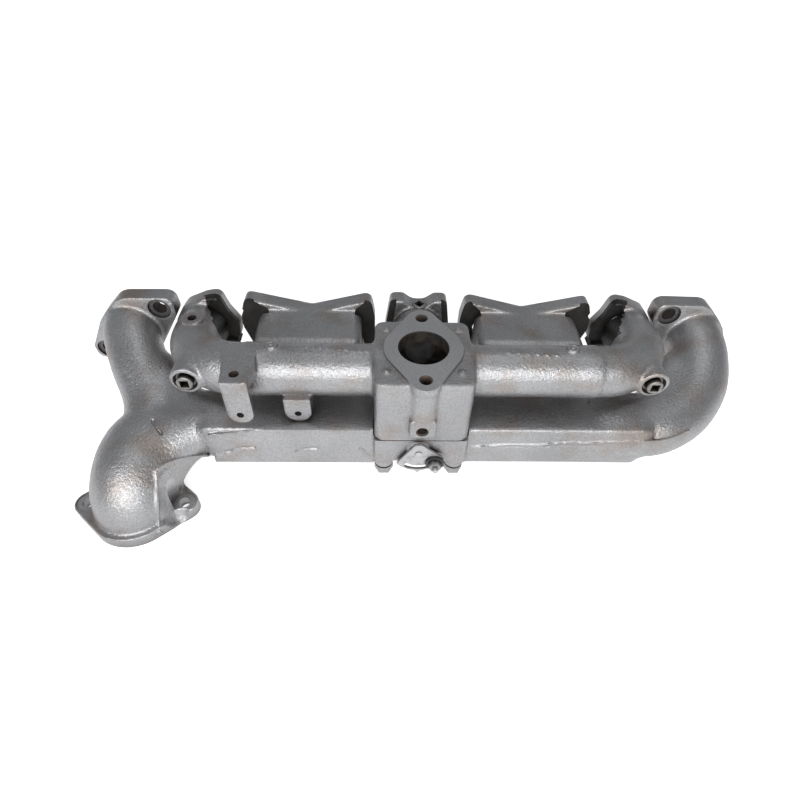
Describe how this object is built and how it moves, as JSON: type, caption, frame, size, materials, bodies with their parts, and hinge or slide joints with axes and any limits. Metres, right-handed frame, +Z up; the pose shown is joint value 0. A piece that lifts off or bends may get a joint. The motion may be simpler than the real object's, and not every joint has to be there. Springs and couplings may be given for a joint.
{
  "type": "intake and exhaust manifold assembly",
  "caption": "Cast intake and exhaust manifold pair for an in-line engine, joined at a centre heat riser, with carburettor pad, heat valve and down-facing outlet.",
  "frame": {"origin": "centre of the carburettor bore on the carburettor pad", "axes": "+X along the engine with the outlet at -X, +Y towards the cylinder head, +Z up out of the bore"},
  "size_m": [0.6998, 0.223, 0.14],
  "materials": {
    "cast_iron_painted": "sand-cast iron under silver heat paint",
    "gasket": "brown-black fibre gasket",
    "fastener": "painted steel fastener",
    "plug": "cast plug, lightly rusted",
    "bush": "sintered bronze",
    "valve": "heat-resisting steel",
    "sector": "pressed steel under silver heat paint"
  },
  "bodies": {
    "manifold": {"exhaust_manifold": "cast_iron_painted", "intake_manifold": "cast_iron_painted", "heat_riser_gasket": "gasket", "riser_bolts": "fastener", "riser_bolt_washers": "fastener", "valve_bush_front": "bush", "valve_bush_rear": "bush", "lock_stud": "fastener", "lock_washer": "fastener", "lock_nut": "fastener", "plug_left": "plug", "plug_right": "plug", "plug_centre": "plug"},
    "heat_valve": {"heat_valve_shaft": "valve", "heat_valve_flap": "valve", "flap_screws": "fastener", "sector_plate": "sector"}
  },
  "joints": [
    {"name": "heat_valve_turn", "type": "hinge", "parent": "manifold", "child": "heat_valve", "pos_m": [-0.002, 0, -0.087], "axis": [0, -1, 0], "range_deg": [0, 75]}
  ]
}
